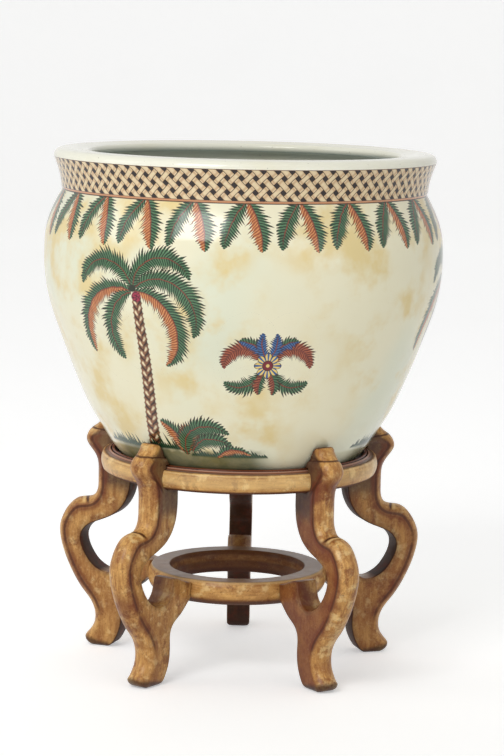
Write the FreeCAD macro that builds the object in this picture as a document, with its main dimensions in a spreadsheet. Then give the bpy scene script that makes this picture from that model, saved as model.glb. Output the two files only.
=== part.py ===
import FreeCAD, Part
import math
import os
import Sketcher
from FreeCAD import Placement, Rotation, Vector

# Glazed fish-bowl jardiniere standing in a five-legged wooden stand.
#
# Millimetres, +Z up.  The origin is on the floor under the bowl's axis.  The
# stand is symmetric about the YZ plane: one leg stands at the back (+Y) and
# two stand towards the front (-Y).  Each stand piece is drawn in the XZ plane,
# x being the distance from the axis, and is then turned about Z to its place.

# ---------------------------------------------------------------- dimensions

DIMENSIONS = [
    ("leg_count", 5, "legs, and segments in each ring"),
    ("leg_thickness", 28, "plank thickness of a leg"),
    ("front_swell", 9, "depth of a leg's rounded front"),
    ("cap_height", 264.5, "height of the hollow between a leg's knob and its cap"),
    ("cap_hollow", 4, "radius of that hollow"),
    ("cap_step", 3.5, "depth of that hollow"),
    ("cap_narrow", 2.5, "how much narrower the cap is on each side"),
    ("cap_start", 140, "radius where the cap's shaping starts"),
    ("cap_long", 60, "length of the cap's shaping"),
    ("cap_high", 20, "height of the cap's shaping"),
    ("ring_floor", 224, "underside of the top ring"),
    ("ring_height", 26.6, "top ring, underside to the top of its lip"),
    ("ring_bore", 112, "inner radius of the top ring's ledge"),
    ("seat_height", 240, "ledge that carries the bowl"),
    ("notch_radius", 152, "floor of the notch where leg and top ring are halved"),
    ("ring_reach", 164, "radius that clears the top ring's outer face"),
    ("tongue_long", 36, "loose tongue across a top ring joint"),
    ("tongue_thick", 5, "thickness of that tongue"),
    ("tongue_inner", 118, "inner radius of that tongue"),
    ("tongue_wide", 28, "radial width of that tongue"),
    ("tongue_floor", 227, "underside of that tongue"),
    ("screw_height", 235.8, "height of the leg screws"),
    ("screw_spread", 14, "distance between a leg's two screws"),
    ("screw_radius", 2.25, "shank radius"),
    ("screw_head", 3.7, "head radius"),
    ("screw_cone", 2.5, "depth of the countersunk head"),
    ("screw_sink", 4, "depth of the head's recess in the ledge's edge"),
    ("screw_end", 169, "radius that a screw's tip reaches"),
    ("spline_long", 30, "loose tongue across a lower ring joint"),
    ("spline_thick", 4, "thickness of that tongue"),
    ("spline_inner", 81, "inner radius of that tongue"),
    ("spline_wide", 15, "radial width of that tongue"),
    ("spline_floor", 89.5, "underside of that tongue"),
    ("dowel_radius", 4, "dowel between a leg's branch and the lower ring"),
    ("dowel_height", 101.5, "height of that dowel"),
    ("dowel_inner", 84, "radius where that dowel starts"),
    ("dowel_long", 40, "length of that dowel"),
]

# One leg stands at each azimuth, counted from the front (-Y) towards +X.
LEG_AZIMUTHS = {
    "leg_front_right": 36,
    "leg_right": 108,
    "leg_back": 180,
    "leg_left": 252,
    "leg_front_left": 324,
}
# A ring segment spans from one leg to the next and is named by its middle.
SEGMENT_AZIMUTHS = {
    "front": 0,
    "right": 72,
    "back_right": 144,
    "back_left": 216,
    "left": 288,
}

# Outlines, as (distance from the axis, height).

# Leg: front of cap, knob, neck, knee, shin and ankle.
LEG_FRONT = [
    (173.0, 271.5), (178.0, 266.5), (184.0, 262.3), (189.0, 255.5), (190.5, 248.0),
    (187.0, 240.5), (180.5, 232.5), (176.3, 224.5), (175.0, 213.0), (175.0, 199.0),
    (176.0, 188.5), (180.5, 181.3), (190.0, 178.4), (200.0, 176.4), (210.5, 168.8),
    (218.5, 157.0), (223.5, 142.0), (222.5, 126.0), (216.0, 105.0), (206.0, 84.5),
    (193.5, 66.0), (181.8, 51.5), (177.0, 38.0), (178.0, 27.0), (184.5, 16.5),
]
# Toe tip round to the flat that stands on the floor.
LEG_TOE = [(184.5, 16.5), (188.5, 10.5), (186.5, 5.0), (181.5, 1.8), (174.0, 0.0)]
# Heel, back of the shin, underside of the branch, up to the lower ring.
LEG_HEEL = [
    (159.0, 0.0), (152.5, 3.2), (147.5, 9.5), (142.5, 20.0), (139.8, 33.0), (139.8, 47.0),
    (139.0, 59.0), (133.0, 67.8), (123.0, 74.5), (112.5, 83.5), (104.0, 92.0), (97.0, 95.0),
]
# Top of the branch, from the lower ring out to its tip.
LEG_BRANCH_TOP = [(97.0, 108.5), (108.0, 111.0), (121.0, 115.8), (130.0, 118.8), (137.0, 119.0)]
# Outer side of the branch, the valley, and the inner side of knee and neck.
LEG_INNER = [
    (137.0, 119.0), (139.5, 110.0), (143.0, 99.5), (150.0, 92.8), (158.5, 90.8), (168.0, 93.6),
    (178.0, 100.3), (186.0, 110.5), (191.5, 122.0), (192.5, 133.5), (186.5, 143.5),
    (175.0, 150.3), (160.0, 156.5), (147.0, 164.5), (137.5, 176.0), (131.8, 190.5), (130.0, 206.0),
]
# Back of the head, which leans out just clear of the bowl, and over the cap.
HEAD_BACK = [
    (130.0, 206.0), (130.0, 222.0), (144.6, 249.0), (151.8, 259.5), (157.0, 268.0),
    (161.6, 274.6), (167.0, 275.6), (173.0, 271.5),
]

# Bowl: base edge to neck, on the outside.
BOWL_OUTSIDE = [
    (134.5, 242.5), (147.8, 258.0), (160.5, 278.0), (173.0, 298.5), (185.2, 324.0), (198.5, 356.5),
    (211.5, 391.0), (221.5, 420.5), (227.6, 452.0), (228.8, 482.0), (226.0, 509.0), (218.5, 530.0), (208.3, 550.0),
]
# Inside, from the floor of the bowl up to the underside of the rim.
BOWL_INSIDE = [
    (112.0, 254.0), (130.0, 258.5), (146.0, 277.0), (160.5, 302.0), (174.0, 331.0), (187.5, 364.5),
    (200.0, 398.0), (210.0, 428.0), (215.6, 455.0), (216.8, 482.0), (214.0, 505.0), (206.0, 527.0), (197.0, 549.0),
]


# ------------------------------------------------------------------- helpers

def make_sheet(doc):
    """Spreadsheet of the driving dimensions, one aliased cell each."""
    sheet = doc.addObject("Spreadsheet::Sheet", "Dimensions")
    for row, (alias, value, meaning) in enumerate(DIMENSIONS, start=1):
        sheet.set("A%d" % row, meaning)
        sheet.set("B%d" % row, str(value))
        sheet.setAlias("B%d" % row, alias)
    doc.recompute()
    return sheet


def turn(azimuth):
    """Placement that turns the +X direction to an azimuth counted from -Y."""
    return Placement(Vector(0, 0, 0), Rotation(Vector(0, 0, 1), azimuth - 90))


def bind(feature, **sizes):
    """Bind each named property to a formula in the spreadsheet's aliases."""
    for name, formula in sizes.items():
        feature.setExpression(name, formula)


def origin_feature(body, role):
    """Plane or axis of the body's own origin."""
    return [f for f in body.Origin.OriginFeatures if f.Role == role][0]


def new_sketch(body, name):
    """Sketch on the body's own XZ plane: x is the radius, y is the height."""
    sketch = body.newObject("Sketcher::SketchObject", name)
    sketch.AttachmentSupport = [(origin_feature(body, "XZ_Plane"), "")]
    sketch.MapMode = "FlatFace"
    return sketch


def trace(sketch, start, steps):
    """Draw a closed outline of straight lines, arcs and smooth curves."""
    here = Vector(start[0], start[1], 0)
    for kind, points in steps:
        stops = [Vector(x, y, 0) for x, y in points]
        if kind == "line":
            for stop in stops:
                sketch.addGeometry(Part.LineSegment(here, stop), False)
                here = stop
        elif kind == "arc":
            sketch.addGeometry(Part.Arc(here, stops[0], stops[1]), False)
            here = stops[1]
        else:
            curve = Part.BSplineCurve()
            curve.interpolate([here] + stops)
            sketch.addGeometry(curve, False)
            here = stops[-1]


def subtract(body, kind, name, place, **sizes):
    """Cut a primitive, placed in the body's own frame, out of the body."""
    cutter = body.newObject("PartDesign::Subtractive" + kind, name)
    cutter.Placement = place
    bind(cutter, **sizes)
    return cutter


def outward(x, y, z):
    """Placement that lays a cylinder's or cone's axis along +X from a point."""
    return Placement(Vector(x, y, z), Rotation(Vector(0, 1, 0), 90))


def screw_places(sheet):
    """The two screws of a leg that stands on +X, as sideways offsets."""
    half = sheet.screw_spread / 2
    return [-half, half]


# ---------------------------------------------------------------------- bowl

def make_bowl(doc, sheet):
    """Wheel-thrown fish bowl: flat base, belly, neck, flared collar, wide rim."""
    seat = sheet.seat_height
    foot = (131.5, seat)
    body = doc.addObject("PartDesign::Body", "bowl")
    sketch = new_sketch(body, "bowl_section")
    trace(sketch, (0, seat + 3), [
        ("line", [(116, seat + 3), (118, seat), foot]),
        ("arc", [(133.4, seat + 0.9), BOWL_OUTSIDE[0]]),
        ("curve", BOWL_OUTSIDE[1:]),
        ("line", [(209.6, 552.2)]),                       # edge of the neck line
        ("curve", [(211.2, 563), (214.4, 575), (218.6, 586.5)]),
        ("arc", [(216.6, 592.5), (210.5, 595.4)]),        # rolled outer edge
        ("arc", [(203, 596.2), (195, 595.6)]),
        ("line", [(184, 593.6)]),
        ("arc", [(177.2, 589.6), (181.5, 584.6)]),        # in-turned inner edge
        ("line", [(190, 584)]),
        ("arc", [(197.8, 580.6), (199.5, 573)]),
        ("curve", [(198, 561), BOWL_INSIDE[-1]]),
        ("curve", BOWL_INSIDE[-2::-1]),
        ("line", [(0, 254), (0, seat + 3)]),
    ])
    spin = body.newObject("PartDesign::Revolution", "bowl_form")
    spin.Profile = sketch
    spin.ReferenceAxis = (origin_feature(body, "Z_Axis"), [""])
    spin.Angle = 360
    return body


# ---------------------------------------------------------------------- legs

def round_front(body, sheet, name):
    """Round the leg's front by a hollow cutter swept down its whole outline."""
    run_off = 18
    front = Part.BSplineCurve()
    front.interpolate([Vector(x, y, 0) for x, y in LEG_FRONT])
    top, foot = front.StartPoint, front.EndPoint
    down = front.tangent(front.FirstParameter)[0]
    above = top - down * run_off
    below = foot + front.tangent(front.LastParameter)[0] * run_off
    spine = new_sketch(body, name + "_front_line")
    spine.addGeometry(Part.LineSegment(above, top), False)
    spine.addGeometry(front, False)
    spine.addGeometry(Part.LineSegment(foot, below), False)

    # The cutter's outline, square to the line: x points into the wood.
    half = sheet.leg_thickness / 2
    swell = sheet.front_swell
    spare = 3
    cutter = body.newObject("Sketcher::SketchObject", name + "_front_cutter")
    cutter.AttachmentSupport = [(origin_feature(body, "XY_Plane"), "")]
    cutter.MapMode = "FlatFace"
    tilt = 180 - math.degrees(math.atan2(down.x, -down.y))
    cutter.AttachmentOffset = Placement(Vector(above.x, 0, above.y), Rotation(Vector(0, 1, 0), tilt))
    trace(cutter, (swell, half), [
        ("line", [(swell, half + spare), (-spare, half + spare), (-spare, -half - spare),
                  (swell, -half - spare), (swell, -half)]),
        ("arc", [(0, 0), (swell, half)]),
    ])
    pipe = body.newObject("PartDesign::SubtractivePipe", name + "_front")
    pipe.Profile = cutter
    pipe.Spine = (spine, ["Edge1", "Edge2", "Edge3"])
    return pipe


def make_leg(doc, sheet, name, azimuth):
    """S-shaped leg sawn from a plank, with a forked branch for the lower ring."""
    body = doc.addObject("PartDesign::Body", name)
    sketch = new_sketch(body, name + "_outline")
    trace(sketch, LEG_FRONT[0], [
        ("curve", LEG_FRONT[1:]),
        ("curve", LEG_TOE[1:]),
        ("line", [LEG_HEEL[0]]),
        ("curve", LEG_HEEL[1:]),
        ("line", [LEG_BRANCH_TOP[0]]),
        ("curve", LEG_BRANCH_TOP[1:]),
        ("curve", LEG_INNER[1:]),
        ("line", HEAD_BACK[1:3]),
        ("curve", HEAD_BACK[3:]),
    ])
    plank = body.newObject("PartDesign::Pad", name + "_plank")
    plank.Profile = sketch
    plank.SideType = "Symmetric"
    bind(plank, Length="Dimensions.leg_thickness")
    doc.recompute()

    round_front(body, sheet, name)

    # Notch that grips the top ring, open towards the axis.
    thick = sheet.leg_thickness
    notch_start = 100
    subtract(body, "Box", name + "_notch", Placement(Vector(notch_start, -thick, sheet.ring_floor), Rotation()),
             Length="Dimensions.notch_radius - %d" % notch_start,
             Width="Dimensions.leg_thickness * 2",
             Height="Dimensions.ring_height")

    # The cap is narrower than the knob, with a hollow cut along each side between them.
    for number, side in enumerate((-1, 1), start=1):
        hollow = outward(sheet.cap_start, side * (thick / 2 + sheet.cap_hollow - sheet.cap_step), sheet.cap_height)
        subtract(body, "Cylinder", "%s_cap_hollow_%d" % (name, number), hollow,
                 Radius="Dimensions.cap_hollow", Height="Dimensions.cap_long")
        low = thick / 2 - sheet.cap_narrow if side > 0 else -thick
        shoulder = Placement(Vector(sheet.cap_start, low, sheet.cap_height), Rotation())
        subtract(body, "Box", "%s_cap_side_%d" % (name, number), shoulder,
                 Length="Dimensions.cap_long", Width="Dimensions.leg_thickness / 2 + Dimensions.cap_narrow",
                 Height="Dimensions.cap_high")

    # The branch's end is scribed to the lower ring's rounded side.
    scribe = new_sketch(body, name + "_scribe")
    lower_ring_section(scribe)
    groove = body.newObject("PartDesign::Groove", name + "_scribed_end")
    groove.Profile = scribe
    groove.ReferenceAxis = (origin_feature(body, "Z_Axis"), [""])
    groove.Angle = 360

    subtract(body, "Cylinder", name + "_dowel_hole", outward(sheet.dowel_inner, 0, sheet.dowel_height),
             Radius="Dimensions.dowel_radius", Height="Dimensions.dowel_long")
    for number, side in enumerate(screw_places(sheet), start=1):
        subtract(body, "Cylinder", "%s_pilot_%d" % (name, number), outward(sheet.ring_bore, side, sheet.screw_height),
                 Radius="Dimensions.screw_radius", Height="Dimensions.screw_end - Dimensions.ring_bore")
    body.Placement = turn(azimuth)
    return body


# --------------------------------------------------------------------- rings

def top_ring_section(sketch):
    """Ledge for the bowl inside, rounded band outside, stepped moulding on top."""
    trace(sketch, (112, 224), [
        ("line", [(151, 224)]),
        ("arc", [(156.2, 225.2), (158.8, 229)]),          # under-curve of the band
        ("arc", [(160.3, 236.5), (158.8, 243.6)]),        # rounded band
        ("arc", [(157.9, 245.2), (156, 245.9)]),
        ("arc", [(153.2, 246.3), (151.2, 247.8)]),        # cove
        ("arc", [(150.1, 248.9), (148.9, 248.1)]),        # thin bead
        ("line", [(148.5, 246.8), (147.9, 247.6)]),       # groove
        ("arc", [(146.6, 250.2), (144.4, 248.6)]),        # lip
        ("line", [(143.6, 240), (112, 240), (112, 224)]),
    ])


def lower_ring_section(sketch):
    """Flat on top and below, rounded outside and inside."""
    trace(sketch, (79, 86), [
        ("line", [(98, 86)]),
        ("arc", [(104, 98.6), (100.4, 111.4)]),
        ("arc", [(99.7, 112.2), (98.6, 112.6)]),
        ("line", [(80, 112.6)]),
        ("arc", [(78.9, 112.2), (78.3, 111.2)]),
        ("arc", [(75.6, 98.6), (79, 86)]),
    ])


def make_segment(doc, sheet, name, azimuth, draw):
    """Sawn and turned fifth of a ring, from the middle of one leg to the next."""
    body = doc.addObject("PartDesign::Body", name)
    sketch = new_sketch(body, name + "_section")
    draw(sketch)
    sweep = body.newObject("PartDesign::Revolution", name + "_sweep")
    sweep.Profile = sketch
    sweep.ReferenceAxis = (origin_feature(body, "Z_Axis"), [""])
    sweep.Midplane = True
    bind(sweep, Angle="360 / Dimensions.leg_count")
    body.Placement = turn(azimuth)
    return body


def end_turns(sheet):
    """The two ends of a segment drawn about +X."""
    half = 180 / sheet.leg_count
    return [Placement(Vector(), Rotation(Vector(0, 0, 1), side * half)) for side in (-1, 1)]


def make_top_segment(doc, sheet, name, azimuth):
    body = make_segment(doc, sheet, name, azimuth, top_ring_section)
    thick = sheet.leg_thickness
    for number, end in enumerate(end_turns(sheet), start=1):
        # Half of the notch that takes the leg's neck.
        subtract(body, "Box", "%s_notch_%d" % (name, number),
                 end.multiply(Placement(Vector(sheet.notch_radius, -thick / 2, sheet.ring_floor), Rotation())),
                 Length="Dimensions.ring_reach - Dimensions.notch_radius",
                 Width="Dimensions.leg_thickness", Height="Dimensions.ring_height")
        subtract(body, "Box", "%s_slot_%d" % (name, number),
                 end.multiply(Placement(Vector(sheet.tongue_inner, -sheet.tongue_long / 2, sheet.tongue_floor),
                                        Rotation())),
                 Length="Dimensions.tongue_wide", Width="Dimensions.tongue_long",
                 Height="Dimensions.tongue_thick")
        # The screw that lies in this segment: the end at -36 degrees has it on its +Y side.
        side = screw_places(sheet)[2 - number]
        hole = outward(sheet.ring_bore - 2, side, sheet.screw_height)
        subtract(body, "Cylinder", "%s_shank_hole_%d" % (name, number), end.multiply(hole),
                 Radius="Dimensions.screw_radius",
                 Height="Dimensions.notch_radius - Dimensions.ring_bore + 4")
        subtract(body, "Cylinder", "%s_head_hole_%d" % (name, number), end.multiply(hole),
                 Radius="Dimensions.screw_head", Height="Dimensions.screw_sink + 2")
        sink = outward(sheet.ring_bore + sheet.screw_sink, side, sheet.screw_height)
        subtract(body, "Cone", "%s_countersink_%d" % (name, number), end.multiply(sink),
                 Radius1="Dimensions.screw_head", Radius2="Dimensions.screw_radius",
                 Height="Dimensions.screw_cone")
    return body


def make_lower_segment(doc, sheet, name, azimuth):
    body = make_segment(doc, sheet, name, azimuth, lower_ring_section)
    for number, end in enumerate(end_turns(sheet), start=1):
        subtract(body, "Box", "%s_slot_%d" % (name, number),
                 end.multiply(Placement(Vector(sheet.spline_inner, -sheet.spline_long / 2, sheet.spline_floor),
                                        Rotation())),
                 Length="Dimensions.spline_wide", Width="Dimensions.spline_long",
                 Height="Dimensions.spline_thick")
        subtract(body, "Cylinder", "%s_dowel_hole_%d" % (name, number),
                 end.multiply(outward(sheet.dowel_inner, 0, sheet.dowel_height)),
                 Radius="Dimensions.dowel_radius", Height="Dimensions.dowel_long")
    return body


# ----------------------------------------------------------------- fastenings

def group(doc, name, pieces):
    """Several like pieces as one named sub-part."""
    bundle = doc.addObject("Part::Compound", name)
    bundle.Links = pieces
    return bundle


def make_tongues(doc, sheet, name, long_key, wide_key, thick_key, inner, floor):
    pieces = []
    for leg, azimuth in LEG_AZIMUTHS.items():
        tongue = doc.addObject("Part::Box", "%s_%s" % (name, leg))
        bind(tongue, Length="Dimensions." + wide_key, Width="Dimensions." + long_key,
             Height="Dimensions." + thick_key)
        start = Vector(inner, -sheet.get(long_key) / 2, floor)
        tongue.Placement = turn(azimuth).multiply(Placement(start, Rotation()))
        pieces.append(tongue)
    return group(doc, name, pieces)


def make_screw(doc, sheet, name, place):
    """Countersunk wood screw: head cone, shank and point."""
    point = 8
    head = doc.addObject("Part::Cone", name + "_head")
    bind(head, Radius1="Dimensions.screw_head", Radius2="Dimensions.screw_radius",
         Height="Dimensions.screw_cone")
    head.Placement = place
    shank = doc.addObject("Part::Cylinder", name + "_shank")
    shank_long = sheet.screw_end - sheet.ring_bore - sheet.screw_sink - sheet.screw_cone - point
    bind(shank, Radius="Dimensions.screw_radius")
    shank.Height = shank_long
    shank.Placement = place.multiply(Placement(Vector(0, 0, sheet.screw_cone), Rotation()))
    tip = doc.addObject("Part::Cone", name + "_tip")
    bind(tip, Radius1="Dimensions.screw_radius")
    tip.Radius2 = 0.4
    tip.Height = point
    tip.Placement = place.multiply(Placement(Vector(0, 0, sheet.screw_cone + shank_long), Rotation()))
    screw = doc.addObject("Part::MultiFuse", name)
    screw.Shapes = [head, shank, tip]
    return screw


def make_screws(doc, sheet):
    pieces = []
    for leg, azimuth in LEG_AZIMUTHS.items():
        for number, side in enumerate(screw_places(sheet), start=1):
            start = outward(sheet.ring_bore + sheet.screw_sink, side, sheet.screw_height)
            pieces.append(make_screw(doc, sheet, "screw_%s_%d" % (leg, number), turn(azimuth).multiply(start)))
    return group(doc, "leg_screws", pieces)


def make_dowels(doc, sheet):
    pieces = []
    for leg, azimuth in LEG_AZIMUTHS.items():
        dowel = doc.addObject("Part::Cylinder", "dowel_" + leg)
        bind(dowel, Radius="Dimensions.dowel_radius", Height="Dimensions.dowel_long")
        dowel.Placement = turn(azimuth).multiply(outward(sheet.dowel_inner, 0, sheet.dowel_height))
        pieces.append(dowel)
    return group(doc, "lower_ring_dowels", pieces)


# --------------------------------------------------------------------- build

def check(doc, parts):
    """Stop if any object failed or any sub-part is empty or broken."""
    for item in doc.Objects:
        bad = [state for state in item.State if state in ("Invalid", "Error")]
        if bad:
            raise RuntimeError("%s: %s" % (item.Label, item.getStatusString()))
    for part in parts:
        if part.Shape.isNull() or not part.Shape.isValid():
            raise RuntimeError("%s has no sound shape" % part.Label)


def main():
    doc = FreeCAD.newDocument("jardiniere")
    sheet = make_sheet(doc)
    parts = [make_bowl(doc, sheet)]
    for name, azimuth in LEG_AZIMUTHS.items():
        parts.append(make_leg(doc, sheet, name, azimuth))
    for name, azimuth in SEGMENT_AZIMUTHS.items():
        parts.append(make_top_segment(doc, sheet, "top_ring_" + name, azimuth))
        parts.append(make_lower_segment(doc, sheet, "lower_ring_" + name, azimuth))
    parts.append(make_tongues(doc, sheet, "top_ring_tongues", "tongue_long", "tongue_wide", "tongue_thick",
                              sheet.tongue_inner, sheet.tongue_floor))
    parts.append(make_tongues(doc, sheet, "lower_ring_tongues", "spline_long", "spline_wide", "spline_thick",
                              sheet.spline_inner, sheet.spline_floor))
    parts.append(make_screws(doc, sheet))
    parts.append(make_dowels(doc, sheet))
    doc.recompute()
    check(doc, parts)

    os.makedirs("parts", exist_ok=True)
    for part in parts:
        part.Shape.exportStep("parts/%s.step" % part.Label)
        box = part.Shape.BoundBox
        print("%-22s solids %2d  volume %10.0f  z %6.1f..%6.1f" % (
            part.Label, len(part.Shape.Solids), part.Shape.Volume, box.ZMin, box.ZMax))


main()
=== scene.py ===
import math

import bmesh
import bpy
import numpy as np
from mathutils import Matrix, Vector
from mathutils.geometry import delaunay_2d_cdt


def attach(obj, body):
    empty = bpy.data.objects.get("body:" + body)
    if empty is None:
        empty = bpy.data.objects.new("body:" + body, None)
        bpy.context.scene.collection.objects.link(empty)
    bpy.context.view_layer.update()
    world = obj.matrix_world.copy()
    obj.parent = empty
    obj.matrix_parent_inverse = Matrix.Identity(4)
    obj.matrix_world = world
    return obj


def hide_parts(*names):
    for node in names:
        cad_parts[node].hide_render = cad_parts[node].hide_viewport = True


# Looks of the glazed jardiniere and its lacquered stand.
#
# Outlines are written in millimetres, as (distance from the axis, height),
# and turned into metres when a mesh is made.  Azimuths are degrees from the
# front (-Y) towards +X.

MM = 0.001
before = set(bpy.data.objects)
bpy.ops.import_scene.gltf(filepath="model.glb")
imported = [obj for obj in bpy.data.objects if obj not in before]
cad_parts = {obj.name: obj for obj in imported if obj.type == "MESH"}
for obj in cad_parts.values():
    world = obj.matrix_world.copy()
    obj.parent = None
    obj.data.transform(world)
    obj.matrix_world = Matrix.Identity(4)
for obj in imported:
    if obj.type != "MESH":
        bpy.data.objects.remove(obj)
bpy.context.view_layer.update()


# ---- outlines

LEG_AZIMUTHS = {
    "leg_front_right": 36,
    "leg_right": 108,
    "leg_back": 180,
    "leg_left": 252,
    "leg_front_left": 324,
}
LEG_THICKNESS = 28.0
FRONT_SWELL = 9.0  # depth of the rounded front
ARRIS = 2.2  # radius of the worn inner edges
CAP_HEIGHT = 261.5  # hollow between knob and cap
CAP_HOLLOW = 4.0
CAP_STEP = 3.5
CAP_NARROW = 2.5
CAP_TALL = 15.5  # from the hollow to the top of the rounded cap
SOLE_ROUND = 7.0  # radius between sole and flank

LEG_FRONT = [
    (173.0, 271.5), (178.0, 266.5), (184.0, 262.3), (189.0, 255.5), (190.5, 248.0),
    (187.0, 240.5), (180.5, 232.5), (176.3, 224.5), (175.0, 213.0), (175.0, 199.0),
    (176.0, 188.5), (180.5, 181.3), (190.0, 178.4), (200.0, 176.4), (210.5, 168.8),
    (218.5, 157.0), (223.5, 142.0), (222.5, 126.0), (216.0, 105.0), (206.0, 84.5),
    (193.5, 66.0), (181.8, 51.5), (177.0, 38.0), (178.0, 27.0), (184.5, 16.5),
]
LEG_TOE = [(184.5, 16.5), (188.5, 10.5), (186.5, 5.0), (181.5, 1.8), (174.0, 0.0)]
LEG_HEEL = [
    (159.0, 0.0), (152.5, 3.2), (147.5, 9.5), (142.5, 20.0), (139.8, 33.0), (139.8, 47.0),
    (139.0, 59.0), (133.0, 67.8), (123.0, 74.5), (112.5, 83.5), (104.5, 91.5),
]
LEG_BRANCH_TOP = [(103.0, 109.8), (108.0, 111.0), (121.0, 115.8), (130.0, 118.8), (137.0, 119.0)]
LEG_INNER = [
    (137.0, 119.0), (139.5, 110.0), (143.0, 99.5), (150.0, 92.8), (158.5, 90.8), (168.0, 93.6),
    (178.0, 100.3), (186.0, 110.5), (191.5, 122.0), (192.5, 133.5), (186.5, 143.5),
    (175.0, 150.3), (160.0, 156.5), (147.0, 164.5), (137.5, 176.0), (131.8, 190.5), (130.0, 206.0),
]
LEG_NOTCH = [(130.0, 206.0), (130.0, 224.0), (152.0, 224.0), (152.0, 250.6), (145.8, 250.6)]
HEAD_BACK = [
    (145.8, 250.6), (151.8, 259.5), (157.0, 268.0), (161.6, 274.6), (167.0, 275.6), (173.0, 271.5),
]

SEAT = 240.0
NECK = 550.0  # where shoulder meets collar
SHOULDER = 496.0  # parting between the belly's and the shoulder's surface
BELLY = 330.0  # parting between the base's and the belly's surface
BOWL_FOOT = [(0.0, 243.0), (116.0, 243.0), (118.0, 240.0), (131.5, 240.0)]
BOWL_OUTSIDE = [
    (134.5, 242.5), (147.8, 258.0), (160.5, 278.0), (173.0, 298.5), (185.2, 324.0), (198.5, 356.5),
    (211.5, 391.0), (221.5, 420.5), (227.6, 452.0), (228.75, 482.0), (226.0, 509.0), (218.5, 530.0),
    (208.3, 550.0),
]
BOWL_COLLAR = [(209.6, 552.2), (211.2, 563.0), (214.4, 575.0), (218.6, 586.5)]
BOWL_RIM = [
    ((218.6, 586.5), (216.6, 592.5), (210.5, 595.4)),
    ((210.5, 595.4), (203.0, 596.15), (195.0, 595.6)),
    ((184.0, 593.6), (177.2, 589.6), (181.5, 584.6)),
    ((190.0, 584.0), (197.8, 580.6), (199.5, 573.0)),
]
BOWL_INSIDE = [
    (199.5, 573.0), (198.0, 561.0), (197.0, 549.0), (206.0, 527.0), (214.0, 505.0), (216.8, 482.0),
    (215.6, 455.0), (210.0, 428.0), (200.0, 398.0), (187.5, 364.5), (174.0, 331.0), (160.5, 302.0),
    (146.0, 277.0), (130.0, 258.5), (112.0, 254.0),
]

# ---- curve helpers

def smooth_curve(points, step):
    """Points about one step apart on a natural cubic spline through the given ones."""
    knots = np.array(points, float)
    chord = np.hypot(*np.diff(knots, axis=0).T)
    place = np.concatenate([[0.0], np.cumsum(chord)])
    count = len(knots)
    matrix = np.eye(count)
    right = np.zeros((count, 2))
    for i in range(1, count - 1):
        matrix[i, i - 1:i + 2] = chord[i - 1], 2 * (chord[i - 1] + chord[i]), chord[i]
        slope = np.diff(knots[i - 1:i + 2], axis=0) / chord[i - 1:i + 1, None]
        right[i] = 6 * (slope[1] - slope[0])
    bend = np.linalg.solve(matrix, right)
    wanted = np.linspace(0, place[-1], max(2, round(place[-1] / step) + 1))
    span = np.clip(np.searchsorted(place, wanted, "right") - 1, 0, count - 2)
    wide = chord[span][:, None]
    before = (place[span + 1] - wanted)[:, None]
    after = (wanted - place[span])[:, None]
    curve = (bend[span] * before ** 3 + bend[span + 1] * after ** 3) / (6 * wide)
    curve += (knots[span] / wide - bend[span] * wide / 6) * before
    curve += (knots[span + 1] / wide - bend[span + 1] * wide / 6) * after
    return curve


def circle_through(first, second, third):
    """Centre and radius of the circle through three points."""
    a, b, c = (np.array(p, float) for p in (first, second, third))
    sides = np.array([b - a, c - a]) * 2
    centre = np.linalg.solve(sides, [b @ b - a @ a, c @ c - a @ a])
    return centre, float(np.hypot(*(a - centre)))


def arc_angles(centre, first, second, third):
    """Angle of the first point, and the signed sweep to the third by way of the second."""
    first, second, third = (math.atan2(p[1] - centre[1], p[0] - centre[0]) for p in (first, second, third))
    turn = 2 * math.pi
    sweep = (third - first) % turn
    if (second - first) % turn > sweep:
        sweep -= turn
    return first, sweep


def arc_curve(first, second, third, step):
    """Points about one step apart on the arc through three points."""
    centre, radius = circle_through(first, second, third)
    start, sweep = arc_angles(centre, first, second, third)
    angles = start + np.linspace(0, sweep, max(3, round(abs(sweep) * radius / step) + 1))
    return centre + radius * np.stack([np.cos(angles), np.sin(angles)], 1)


def line_curve(first, second, step):
    """Points about one step apart on a straight line."""
    first, second = np.array(first, float), np.array(second, float)
    count = max(2, round(float(np.hypot(*(second - first))) / step) + 1)
    return first + (second - first) * np.linspace(0, 1, count)[:, None]


def joined(*runs):
    """Several runs of points as one, without the doubled ends."""
    kept = [runs[0]]
    for run in runs[1:]:
        same = np.hypot(*(run[0] - kept[-1][-1])) < 1e-6
        kept.append(run[1:] if same else run)
    return np.concatenate(kept)


def distances(points, others):
    """Distance of each point to each of the others."""
    return np.hypot(*(points[:, None] - others[None]).transpose(2, 0, 1))


def new_object(name, vertices, faces):
    """An object whose mesh is given in millimetres."""
    mesh = bpy.data.meshes.new(name)
    mesh.from_pydata((np.asarray(vertices) * MM).tolist(), [], faces)
    mesh.shade_smooth()
    made = bpy.data.objects.new(name, mesh)
    bpy.context.scene.collection.objects.link(made)
    return made


# ---- shader numbers

def srgb(red, green, blue):
    """Linear colour of a display colour given as 0 to 255."""
    values = []
    for part in (red / 255, green / 255, blue / 255):
        values.append(part / 12.92 if part <= 0.04045 else ((part + 0.055) / 1.055) ** 2.4)
    return (*values, 1.0)


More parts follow.
